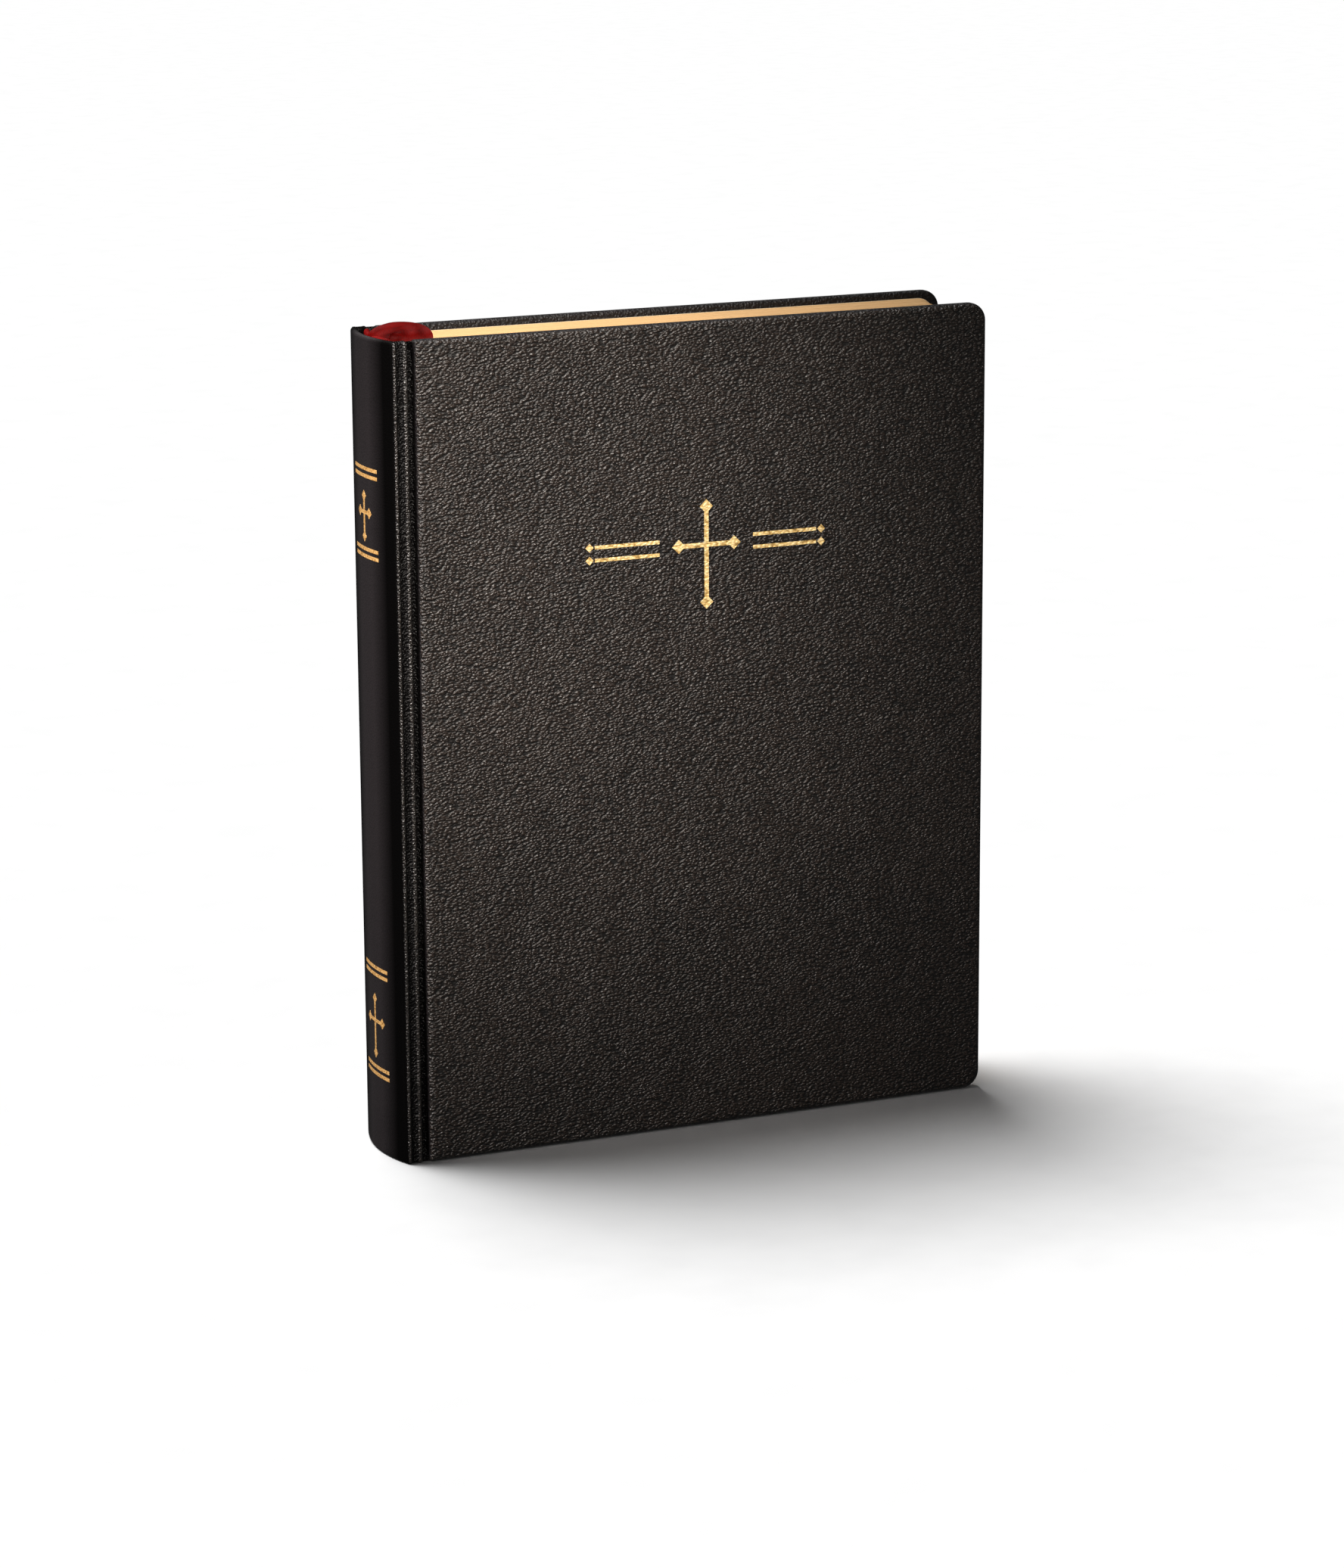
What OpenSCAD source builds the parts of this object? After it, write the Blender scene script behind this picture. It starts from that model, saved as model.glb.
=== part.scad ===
// Case-bound devotional book, standing closed on its tail.
// The front cover faces -Y, the spine faces -X and the fore-edge faces +X.
// The origin is the middle of the footprint, on the standing surface.

/* [Cover] */
// Height of the covers
cover_h = 205; // [180:1:240]
// Width of a cover from the spine ridge to the fore-edge
cover_w = 158; // [140:1:180]
// Thickness of the closed book
book_t = 30; // [28:0.5:32]
// How far the rounded spine stands out past the ridges
spine_bulge = 3; // [2.5:0.1:3.5]
// Radius of the two outer corners of each cover
corner_r = 4.5; // [3:0.5:8]
// Thickness of the covering leather
leather_t = 0.5; // [0.4:0.05:0.6]
// Thickness of a cover board
board_t = 2.2; // [2:0.1:2.4]
// Width of the leather turned in round the board edges
turn_in = 15; // [10:1:20]

/* [Joint] */
// Distance from the spine ridge to the joint groove
ridge_w = 3.8; // [3.4:0.1:4]
// Width of the joint groove
groove_w = 2.2; // [2:0.1:2.6]
// Depth of the joint groove
groove_d = 2.9; // [2.4:0.1:3]

/* [Text block] */
// How far the covers stand past the pages at head, tail and fore-edge
square = 1.8; // [1.5:0.1:3]
// Number of sewn sections
section_count = 12; // [12:1:12]
// Thickness of the leaves in front of the ribbon marker
first_section_t = 2.35; // [2:0.05:3]
// How far the rounded back of the pages stands out at mid thickness
back_rounding = 2.4; // [2:0.1:2.6]
// Radius of the corners of the pages at the fore-edge
page_corner_r = 4.5; // [3:0.5:6]
// Thickness of an endpaper
endpaper_t = 0.15; // [0.12:0.01:0.2]

/* [Ribbon] */
// Width of the ribbon marker
ribbon_w = 10; // [6:0.5:12]
// Thickness of the ribbon marker
ribbon_t = 0.2; // [0.15:0.05:0.3]
// How high the ribbon arches over the covers' head
ribbon_rise = 2.5; // [0.5:0.5:4]

/* [Ornament] */
// Height of the cross stamped on the front cover
front_cross_h = 30; // [20:1:60]
// Width of a stamped line
gilt_line = 0.9; // [0.6:0.1:1.5]
// Depth of the stamping
gilt_depth = 0.15; // [0.1:0.05:0.2]

/* [Hidden] */
$fn = 96;
eps = 0.05;
half_t = book_t / 2;
cover_gap = 0.05;
ridge_x = (spine_bulge - cover_w) / 2;
board_x = ridge_w + groove_w;
// Layers of a cover, as distances from the middle of the book
board_out = half_t - leather_t;
board_in = board_out - board_t;
turn_in_face = board_in - leather_t;
paste_face = turn_in_face - endpaper_t - cover_gap;
flyleaf_out = paste_face - cover_gap;
block_half = flyleaf_out - endpaper_t - cover_gap;
split_y = -(block_half - first_section_t);
section_t = (block_half - split_y) / (section_count - 1);
// Arcs of the spine: radius from the bulge and half the thickness
case_r = (spine_bulge * spine_bulge + half_t * half_t) / (2 * spine_bulge);
case_cx = case_r - spine_bulge;
inlay_t = 0.8;
inlay_half = 13;
// Arc of the pages' back, with its outermost point just inside the ridge line
back_x = -0.2;
back_r = (back_rounding * back_rounding + block_half * block_half) / (2 * back_rounding);
back_cx = back_x + back_r;
page_z0 = square;
page_z1 = cover_h - square;
page_x1 = cover_w - square;
// A hair inside the pages' corner, so that the arc and the corner never meet in one line
fore_cx = page_x1 - back_rounding + back_r - 0.02;
lining_t = 0.3;
lining_z0 = 18;
tape_w = 12;
tape_z = [cover_h * 0.25, cover_h * 0.5, cover_h * 0.75];
thread_w = 0.2;
// Room that the tapes' curve takes under the flat-sided thread
thread_gap = 0.07;
band_r = 0.8;
band_gap = 0.5;
ribbon_x0 = 1.5;
// Where the ribbon comes up out of the hollow back
ribbon_arch_x0 = -0.7;
ribbon_low_z = 14;
ribbon_top_z = cover_h + ribbon_rise;
ribbon_back_y = 1;
// Each spine ornament: its middle, the height of its cross and the distance to its fillets
upper_stamp = [cover_h * 0.79, 10, 9];
lower_stamp = [cover_h * 0.165, 14, 12];
fillet_w = 15;
rule_step = 1.8;
front_cross_x = 81;
front_cross_z = cover_h * 0.73;

// ---- shared shapes ----

// From the binding's own frame, with x = 0 at the spine ridge, to the book's frame
module placed() {
  translate([ridge_x, 0, 0])
    children();
}

// A back cover part is the mirror of the front one
module on_back() {
  mirror([0, 1, 0])
    children();
}

// Box from its two corners
module span(low, high) {
  translate(low)
    cube(high - low);
}

// Plate seen from the front with rounded fore-edge corners, from y0 to y1
module cover_plate(x0, x1, z0, z1, r, y0, y1) {
  translate([0, y1, 0])
    rotate([90, 0, 0])
      linear_extrude(y1 - y0)
        union() {
          translate([x0, z0])
            square_2d(x1 - r - x0, z1 - z0);
          translate([x1 - r - eps, z0 + r])
            square_2d(r + eps, z1 - z0 - 2 * r);
          for (z = [z0 + r, z1 - r])
            translate([x1 - r, z])
              circle(r);
        }
}

// The name square is a dimension here, so plain rectangles come from this module
module square_2d(w, h) {
  polygon([[0, 0], [w, 0], [w, h], [0, h]]);
}

// Area inside the spine arc of radius r, y from y0 to y1, x no further than x1
module spine_area(cx, r, y0, y1, x1) {
  intersection() {
    translate([cx, 0])
      circle(r, $fn = 180);
    translate([-10, y0])
      square_2d(x1 + 10, y1 - y0);
  }
}

// Curved layer on the pages' back, from depth t0 to t1 outside it
module back_layer(t0, t1, y0, y1, z0, z1) {
  translate([0, 0, z0])
    linear_extrude(z1 - z0)
      difference() {
        spine_area(back_cx, back_r + t1, y0, y1, 4);
        translate([back_cx, 0])
          circle(back_r + t0, $fn = 180);
      }
}

// ---- covers ----

module board() {
  cover_plate(board_x, cover_w - leather_t, leather_t, cover_h - leather_t,
    corner_r - leather_t, -board_out, -board_in);
}

module cover_leather() {
  difference() {
    cover_plate(board_x, cover_w, 0, cover_h, corner_r, -half_t, -turn_in_face);
    board();
    span([board_x - 1, -board_in - eps, turn_in], [cover_w - turn_in, -turn_in_face + 1, cover_h - turn_in]);
  }
}

// The pastedown covers the turned-in leather and fills the window between it
module pastedown() {
  union() {
    cover_plate(board_x, page_x1 - 1, page_z0 + 1, page_z1 - 1, page_corner_r,
      -turn_in_face, -turn_in_face + endpaper_t);
    span([board_x, -board_in, turn_in], [cover_w - turn_in, -turn_in_face + eps, cover_h - turn_in]);
  }
}

// U-shaped leather of the joint groove
module joint_leather() {
  translate([0, 0, leather_t])
    linear_extrude(cover_h - 2 * leather_t)
      difference() {
        translate([ridge_w, -half_t])
          square_2d(groove_w, groove_d);
        translate([ridge_w + leather_t, -half_t - 1])
          square_2d(groove_w - 2 * leather_t, groove_d - leather_t + 1);
      }
}

module flyleaf() {
  cover_plate(ridge_w - 0.6, page_x1, page_z0, page_z1, page_corner_r,
    -flyleaf_out, -flyleaf_out + endpaper_t);
}

// ---- stamped ornament ----

// Flat cross with pointed ends, its centre at the origin
module cross_2d(h, line) {
  arm = h * 0.62;
  union() {
    translate([-line / 2, -h * 0.6])
      square_2d(line, h);
    translate([-arm / 2, -line / 2])
      square_2d(arm, line);
    for (p = [[0, h * 0.4], [0, -h * 0.6], [arm / 2, 0], [-arm / 2, 0]])
      translate(p)
        lozenge_2d(line * 1.5);
  }
}

module lozenge_2d(r) {
  polygon([[r, 0], [0, r], [-r, 0], [0, -r]]);
}

// Cross between two pairs of rules that end in lozenges
module front_ornament_2d() {
  rule_len = front_cross_h * 0.62;
  rule_gap = front_cross_h * 0.42;
  cross_2d(front_cross_h * 0.8, gilt_line * 1.3);
  for (side = [-1, 1], dz = [-1.6, 1.6]) {
    translate([side * (rule_gap + rule_len / 2) - rule_len / 2, dz - gilt_line / 2])
      square_2d(rule_len, gilt_line);
    translate([side * (rule_gap + rule_len), dz])
      lozenge_2d(gilt_line * 1.2);
  }
}

module front_ornament(y0, y1) {
  translate([front_cross_x, y1, front_cross_z])
    rotate([90, 0, 0])
      linear_extrude(y1 - y0)
        front_ornament_2d();
}

// Spine ornament: a cross between two fillets, drawn across the spine (y) and up it (z)
module spine_ornament_2d(cross_h, fillet_gap) {
  cross_2d(cross_h, gilt_line);
  for (side = [-1, 1], step = [0, rule_step])
    translate([-fillet_w / 2, side * (fillet_gap + step) - gilt_line / 2])
      square_2d(fillet_w, gilt_line);
}

// The stamped layer between two depths under the spine leather's face
module spine_ornament(stamp, depth0, depth1) {
  intersection() {
    translate([-10, 0, stamp[0]])
      rotate([90, 0, 90])
        linear_extrude(14)
          spine_ornament_2d(stamp[1], stamp[2]);
    linear_extrude(cover_h)
      difference() {
        spine_area(case_cx, case_r - depth0, -half_t, half_t, 2);
        translate([case_cx, 0])
          circle(case_r - depth1, $fn = 180);
      }
  }
}

// ---- spine case ----

module spine_leather_solid() {
  turn_face = leather_t * 2 + inlay_t;
  difference() {
    linear_extrude(cover_h)
      spine_area(case_cx, case_r, -half_t, half_t, ridge_w);
    // hollow between the turned-in ends
    translate([0, 0, -1])
      linear_extrude(cover_h + 2)
        spine_area(case_cx, case_r - turn_face, -half_t + 2 * leather_t, half_t - 2 * leather_t, ridge_w + 1);
    translate([0, 0, turn_in])
      linear_extrude(cover_h - 2 * turn_in)
        spine_area(case_cx, case_r - leather_t, -half_t + leather_t, half_t - leather_t, ridge_w + 1);
    spine_inlay_solid();
  }
}

module spine_inlay_solid() {
  translate([0, 0, leather_t])
    linear_extrude(cover_h - 2 * leather_t)
      difference() {
        spine_area(case_cx, case_r - leather_t, -inlay_half, inlay_half, ridge_w);
        translate([case_cx, 0])
          circle(case_r - leather_t - inlay_t, $fn = 180);
      }
}

// ---- text block ----

// Profile of the pages from y0 to y1, with the rounded back and the hollow fore-edge
module block_area(y0, y1) {
  difference() {
    translate([back_x - 0.5, y0])
      square_2d(page_x1 - back_x + 1, y1 - y0);
    difference() {
      translate([back_x - 1, y0 - 1])
        square_2d(back_rounding + 1.5, y1 - y0 + 2);
      translate([back_cx, 0])
        circle(back_r, $fn = 180);
    }
    translate([fore_cx, 0])
      circle(back_r, $fn = 180);
  }
}

module section_solid(y0, y1) {
  intersection() {
    translate([0, 0, page_z0])
      linear_extrude(page_z1 - page_z0)
        block_area(y0, y1);
    cover_plate(back_x - 1, page_x1, page_z0 - eps, page_z1 + eps, page_corner_r, y0 - 1, y1 + 1);
  }
}

// Leaves behind the marker, counted from 2
module rear_section(index) {
  y0 = split_y + (index - 2) * section_t;
  color("wheat")
    placed()
      difference() {
        section_solid(y0, y0 + section_t);
        if (index == 2)
          ribbon_inside(eps);
      }
}

// The part of the ribbon that lies between the pages; more widens its channel
module ribbon_inside(more) {
  span([ribbon_x0 - more, split_y - more, ribbon_low_z - more],
    [ribbon_x0 + ribbon_w + more, split_y + ribbon_t + more, ribbon_top_z]);
}

module tapes_solid() {
  for (z = tape_z)
    back_layer(0, lining_t, split_y, block_half - 1, z - tape_w / 2, z + tape_w / 2);
}

module thread_solid() {
  for (z = tape_z, index = [2 : section_count]) {
    y = split_y + (index - 1.5) * section_t;
    x = back_cx - sqrt(back_r * back_r - y * y) - lining_t - thread_gap - thread_w;
    if (abs(y) < block_half - 1)
      span([x, y - thread_w / 2, z - tape_w / 2 - 1], [x + thread_w, y + thread_w / 2, z + tape_w / 2 + 1]);
  }
}

// A beaded band at one end of the back: a roll on the pages and a tab on the spine
module end_band(roll_z, tab_z0, tab_z1) {
  union() {
    intersection() {
      translate([back_cx, 0, roll_z])
        rotate_extrude($fn = 180)
          translate([back_r - band_r + lining_t / 2, 0])
            circle(band_r, $fn = 24);
      span([-5, split_y + band_gap, roll_z - 2], [6, block_half - band_gap, roll_z + 2]);
    }
    back_layer(0, lining_t, split_y + band_gap, block_half - band_gap, tab_z0, tab_z1);
  }
}

// ---- nodes ----

module front_board() {
  color("tan")
    placed()
      board();
}

module front_cover_leather() {
  color([0.13, 0.12, 0.12])
    placed()
      difference() {
        cover_leather();
        front_ornament(-half_t - eps, -half_t + gilt_depth);
      }
}

module front_gilt_ornament() {
  color("goldenrod")
    placed()
      front_ornament(-half_t + eps, -half_t + gilt_depth);
}

module front_pastedown() {
  color("ivory")
    placed()
      pastedown();
}

module front_joint_leather() {
  color([0.10, 0.10, 0.10])
    placed()
      joint_leather();
}

module front_flyleaf() {
  color("ivory")
    placed()
      flyleaf();
}

module back_board() {
  color("tan")
    placed()
      on_back()
        board();
}

module back_cover_leather() {
  color([0.13, 0.12, 0.12])
    placed()
      on_back()
        cover_leather();
}

module back_pastedown() {
  color("ivory")
    placed()
      on_back()
        pastedown();
}

module back_joint_leather() {
  color([0.10, 0.10, 0.10])
    placed()
      on_back()
        joint_leather();
}

module back_flyleaf() {
  color("ivory")
    placed()
      on_back()
        flyleaf();
}

module spine_leather() {
  color([0.12, 0.11, 0.12])
    placed()
      difference() {
        spine_leather_solid();
        spine_ornament(upper_stamp, -1, gilt_depth);
        spine_ornament(lower_stamp, -1, gilt_depth);
      }
}

module spine_inlay() {
  color("tan")
    placed()
      spine_inlay_solid();
}

module spine_gilt_upper() {
  color("goldenrod")
    placed()
      spine_ornament(upper_stamp, eps, gilt_depth);
}

module spine_gilt_lower() {
  color("goldenrod")
    placed()
      spine_ornament(lower_stamp, eps, gilt_depth);
}

module section_01() {
  color("wheat")
    placed()
      section_solid(-block_half, split_y);
}

module sewing_tapes() {
  color("linen")
    placed()
      tapes_solid();
}

module sewing_thread() {
  color("white")
    placed()
      thread_solid();
}

// Open-weave cloth glued over the folds, the tapes and the stitches
module mull() {
  color("beige")
    placed()
      difference() {
        back_layer(0, 2 * lining_t, split_y, block_half - 1, lining_z0, cover_h - lining_z0);
        tapes_solid();
        thread_solid();
      }
}

module spine_lining() {
  color("burlywood")
    placed()
      back_layer(2 * lining_t, 3 * lining_t, split_y, block_half - 1.5, lining_z0, cover_h - lining_z0);
}

module head_band() {
  color("firebrick")
    placed()
      end_band(page_z1 + band_r, cover_h - lining_z0, page_z1 + band_r);
}

module tail_band() {
  color("firebrick")
    placed()
      end_band(page_z0 - band_r, page_z0 - band_r, lining_z0);
}

// Satin ribbon: glued to the back above the lining, over the head and down between the pages
module ribbon_marker() {
  glued_z = cover_h - lining_z0 + 0.5;
  glued_in = lining_t + eps;
  color("darkred")
    placed()
      union() {
        back_layer(glued_in, glued_in + ribbon_t, split_y, ribbon_back_y, glued_z, ribbon_top_z);
        span([ribbon_arch_x0, split_y, ribbon_top_z - ribbon_t], [ribbon_x0 + ribbon_w, ribbon_back_y, ribbon_top_z]);
        ribbon_inside(0);
      }
}

front_board();
front_cover_leather();
front_gilt_ornament();
front_pastedown();
front_joint_leather();
front_flyleaf();
back_board();
back_cover_leather();
back_pastedown();
back_joint_leather();
back_flyleaf();
spine_leather();
spine_inlay();
spine_gilt_upper();
spine_gilt_lower();
section_01();
rear_section(2);  // section_02
rear_section(3);  // section_03
rear_section(4);  // section_04
rear_section(5);  // section_05
rear_section(6);  // section_06
rear_section(7);  // section_07
rear_section(8);  // section_08
rear_section(9);  // section_09
rear_section(10);  // section_10
rear_section(11);  // section_11
rear_section(12);  // section_12
sewing_tapes();
sewing_thread();
mull();
spine_lining();
head_band();
tail_band();
ribbon_marker();
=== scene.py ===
import math
import random

import bmesh
import bpy
from mathutils import Matrix, Vector


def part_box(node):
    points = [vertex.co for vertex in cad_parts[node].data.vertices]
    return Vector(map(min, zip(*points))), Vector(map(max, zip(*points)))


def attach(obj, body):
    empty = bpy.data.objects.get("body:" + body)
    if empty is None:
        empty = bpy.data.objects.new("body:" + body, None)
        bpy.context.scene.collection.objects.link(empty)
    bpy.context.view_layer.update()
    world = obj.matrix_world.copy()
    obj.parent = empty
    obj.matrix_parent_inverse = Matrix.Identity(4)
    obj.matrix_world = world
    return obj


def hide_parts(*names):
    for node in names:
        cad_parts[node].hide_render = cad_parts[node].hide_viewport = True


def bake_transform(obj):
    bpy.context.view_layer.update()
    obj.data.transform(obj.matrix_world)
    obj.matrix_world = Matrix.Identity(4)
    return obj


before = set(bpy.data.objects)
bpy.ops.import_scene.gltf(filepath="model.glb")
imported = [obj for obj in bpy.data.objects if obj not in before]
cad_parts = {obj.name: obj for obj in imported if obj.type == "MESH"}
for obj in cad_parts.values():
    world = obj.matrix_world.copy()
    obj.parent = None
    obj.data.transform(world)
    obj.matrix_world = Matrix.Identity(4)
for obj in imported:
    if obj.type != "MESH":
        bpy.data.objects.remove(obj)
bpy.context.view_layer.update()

MM = 0.001

# ---- the frame's own sizes, in millimetres, measured from the spine ridge ----
RIDGE_W = 3.8
spine_low, spine_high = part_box("spine_leather")
RIDGE_X = spine_high.x / MM - RIDGE_W
cover_low, cover_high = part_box("front_cover_leather")
BOARD_X = cover_low.x / MM - RIDGE_X
COVER_W = cover_high.x / MM - RIDGE_X
HALF_T = -cover_low.y / MM
INNER_FACE = -cover_high.y / MM
COVER_H = cover_high.z / MM
BULGE = -(spine_low.x / MM - RIDGE_X)
board_low, board_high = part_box("front_board")
LEATHER_T = (board_low.y - cover_low.y) / MM
BOARD_OUT = -board_low.y / MM
BOARD_IN = -board_high.y / MM
last_low, last_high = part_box("section_12")
BLOCK_HALF = last_high.y / MM
SPLIT_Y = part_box("section_01")[1].y / MM
PAGE_X1 = last_high.x / MM - RIDGE_X
PAGE_Z0, PAGE_Z1 = last_low.z / MM, last_high.z / MM
BACK_X = -0.2
BACK_ROUNDING = 2.4
BACK_R = (BACK_ROUNDING**2 + BLOCK_HALF**2) / (2 * BACK_ROUNDING)
CASE_R = (BULGE**2 + HALF_T**2) / (2 * BULGE)
TURN_IN = 15.0
CORNER_R = 4.5


def row(x, y, z):
    """A point of the binding's own frame, in millimetres, as a point of the row frame in metres."""
    return Vector(((x + RIDGE_X) * MM, y * MM, z * MM))


def make_mesh(name, verts, faces, materials, sharp_deg=38.0):
    """Closed mesh from points of the binding's frame, smooth but for its sharp edges."""
    mesh = bpy.data.meshes.new(name)
    mesh.from_pydata([row(*v) for v in verts], [], faces)
    edit = bmesh.new()
    edit.from_mesh(mesh)
    bmesh.ops.recalc_face_normals(edit, faces=edit.faces)
    edit.to_mesh(mesh)
    edit.free()
    for p in mesh.polygons:
        p.use_smooth = True
    mesh.set_sharp_from_angle(angle=math.radians(sharp_deg))
    obj = bpy.data.objects.new(name, mesh)
    bpy.context.scene.collection.objects.link(obj)
    for material in materials:
        mesh.materials.append(material)
    return obj


def loft(rings):
    """Points and faces of a closed skin over rings of equal length, its two ends capped."""
    count = len(rings[0])
    last = (len(rings) - 1) * count
    verts = [v for ring in rings for v in ring]
    faces = []
    for a in range(0, last, count):
        for i in range(count):
            j = (i + 1) % count
            faces.append((a + i, a + j, a + count + j, a + count + i))
    faces.append(tuple(reversed(range(count))))
    faces.append(tuple(range(last, last + count)))
    return verts, faces


def spline(points, steps):
    """Catmull-Rom curve through 2-D or 3-D points, with this many steps from each point to the next."""
    out = []
    pts = [points[0]] + list(points) + [points[-1]]
    for i in range(1, len(pts) - 2):
        p0, p1, p2, p3 = (Vector(p) for p in pts[i - 1 : i + 3])
        for k in range(steps):
            t = k / steps
            squared = (2 * p0 - 5 * p1 + 4 * p2 - p3) * t * t
            cubed = (3 * p1 - p0 - 3 * p2 + p3) * t**3
            out.append(0.5 * (2 * p1 + (p2 - p0) * t + squared + cubed))
    out.append(Vector(points[-1]))
    return out


def direction_at(line, i):
    """Unit vector along a line of points, at its point i."""
    before, after = line[max(i - 1, 0)], line[min(i + 1, len(line) - 1)]
    return (after - before).normalized()


def step_up(value, edge, width):
    """Smooth step from 0 to 1, half way up at the edge."""
    t = min(max((value - edge) / width + 0.5, 0.0), 1.0)
    return t * t * (3 - 2 * t)


# ---- node material helpers ----


class Nodes:
    """A material's node tree with short calls for the nodes that every material here uses."""

    def __init__(self, name):
        self.material = bpy.data.materials.new(name)
        self.material.use_nodes = True
        self.tree = self.material.node_tree
        self.tree.nodes.clear()
        self.out = self.tree.nodes.new("ShaderNodeOutputMaterial")
        self.shader = self.tree.nodes.new("ShaderNodeBsdfPrincipled")
        self.tree.links.new(self.shader.outputs[0], self.out.inputs["Surface"])
        self.coords = self.tree.nodes.new("ShaderNodeTexCoord").outputs["Object"]

    def set(self, node, key, value):
        """Gives an input a value, or links it when the value is another node's output."""
        if isinstance(value, bpy.types.NodeSocket):
            self.tree.links.new(value, node.inputs[key])
        else:
            node.inputs[key].default_value = value

    def mapped(self, scale, source=None):
        node = self.tree.nodes.new("ShaderNodeMapping")
        self.set(node, "Vector", source or self.coords)
        self.set(node, "Scale", scale)
        return node.outputs[0]

    def noise(self, vector, scale, detail=2.0, roughness=0.5):
        node = self.tree.nodes.new("ShaderNodeTexNoise")
        self.set(node, "Vector", vector)
        self.set(node, "Scale", scale)
        self.set(node, "Detail", detail)
        self.set(node, "Roughness", roughness)
        return node

    def cells(self, vector, scale):
        node = self.tree.nodes.new("ShaderNodeTexVoronoi")
        node.feature = "SMOOTH_F1"
        self.set(node, "Vector", vector)
        self.set(node, "Scale", scale)
        self.set(node, "Smoothness", 0.6)
        return node.outputs["Distance"]

    def math(self, operation, a, b=0.0, clamp=False):
        node = self.tree.nodes.new("ShaderNodeMath")
        node.operation = operation
        node.use_clamp = clamp
        self.set(node, 0, a)
        self.set(node, 1, b)
        return node.outputs[0]

    def add_vectors(self, a, b, factor):
        """a + b x factor."""
        scaled = self.tree.nodes.new("ShaderNodeVectorMath")
        scaled.operation = "MULTIPLY_ADD"
        self.set(scaled, 0, b)
        self.set(scaled, 1, (factor, factor, factor))
        self.set(scaled, 2, a)
        return scaled.outputs[0]

    def ramp(self, factor, stops):
        node = self.tree.nodes.new("ShaderNodeValToRGB")
        self.set(node, "Fac", factor)
        elements = node.color_ramp.elements
        while len(elements) < len(stops):
            elements.new(0.5)
        for element, (place, colour) in zip(elements, stops):
            element.position = place
            element.color = (*colour, 1.0)
        return node.outputs[0]

    def bump(self, height, strength, distance):
        node = self.tree.nodes.new("ShaderNodeBump")
        self.set(node, "Height", height)
        self.set(node, "Strength", strength)
        self.set(node, "Distance", distance)
        return node.outputs[0]

    def finish(self, **values):
        for key, value in values.items():
            self.set(self.shader, key.replace("_", " "), value)
        return self.material


def pebble(n, cell_mm, stretch):
    """Height of a pebbled grain: warped cells in wavy rows with low creases, and its fine wrinkles. Where the
    leathers take their colour from it, the creases get painted shade.
    """
    flow = n.noise(n.coords, 1 / (16 * cell_mm * MM), 1.0).outputs["Color"]
    base = n.mapped(stretch, source=n.add_vectors(n.coords, flow, 3.0 * cell_mm * MM))
    warp = n.noise(base, 1 / (1.6 * cell_mm * MM), 1.0).outputs["Color"]
    bent = n.add_vectors(base, warp, 0.9 * cell_mm * MM)
    cells = n.cells(bent, 1 / (cell_mm * MM))
    fine = n.noise(bent, 1 / (0.4 * cell_mm * MM), 2.0, 0.55).outputs["Fac"]
    dome = n.math("SUBTRACT", 1.0, n.math("MULTIPLY", cells, 1.3), clamp=True)
    return n.math("ADD", n.math("MULTIPLY", dome, 0.85), n.math("MULTIPLY", fine, 0.25)), cells


def leather(name, cell_mm, depth_mm, low, high, roughness, gloss, stretch=(1, 1, 1)):
    """Black grained leather: colour, gloss and relief all follow one pebbled grain. The colour is painted
    darker in the creases and lighter brown on the pebble tops, as shade and light, over patches of the
    leather's own uneven tone.
    """
    n = Nodes(name)
    height, cells = pebble(n, cell_mm, stretch)
    patch = n.noise(n.coords, 28.0, 3.0, 0.6).outputs["Fac"]
    # Painted shade in the creases and painted light on the pebble tops, over patches of the leather's own
    # uneven tone
    tone_and_painted_shading = n.math("ADD", n.math("MULTIPLY", height, 0.8), n.math("MULTIPLY", patch, 0.3))
    colour = n.ramp(tone_and_painted_shading, [(0.30, low), (0.85, high)])
    rough = n.math("ADD", n.math("MULTIPLY", cells, 0.25), roughness - 0.06)
    normal = n.bump(height, 1.0, depth_mm * MM)
    return n.finish(Base_Color=colour, Roughness=rough, Normal=normal, Specular_IOR_Level=gloss)


def spine_hide(name, cell_mm, depth_mm):
    """Fine grained leather with painted light: lighter and glossier along the middle of the spine, fading to
    near black towards its ridges.
    """
    n = Nodes(name)
    height, cells = pebble(n, cell_mm, (1, 1, 1))
    axes = n.tree.nodes.new("ShaderNodeSeparateXYZ")
    n.set(axes, "Vector", n.coords)
    from_middle = n.math("ABSOLUTE", axes.outputs["Y"])
    # Painted light down the middle of the spine, fading to painted shade at the ridges
    edge, fade = 0.0108, 0.007
    painted_light_band = n.math("DIVIDE", n.math("SUBTRACT", edge, from_middle), fade, clamp=True)
    tone_and_painted_shading = n.math("MULTIPLY", painted_light_band, n.math("ADD", n.math("MULTIPLY", height, 0.5), 0.5))
    colour = n.ramp(tone_and_painted_shading, [(0.0, (0.0005, 0.0004, 0.0004)), (1.0, (0.0095, 0.0072, 0.0082))])
    gloss = n.math("ADD", n.math("MULTIPLY", painted_light_band, 0.26), 0.04)
    normal = n.bump(height, 1.0, depth_mm * MM)
    return n.finish(Base_Color=colour, Roughness=0.5, Normal=normal, Specular_IOR_Level=gloss)


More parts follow.
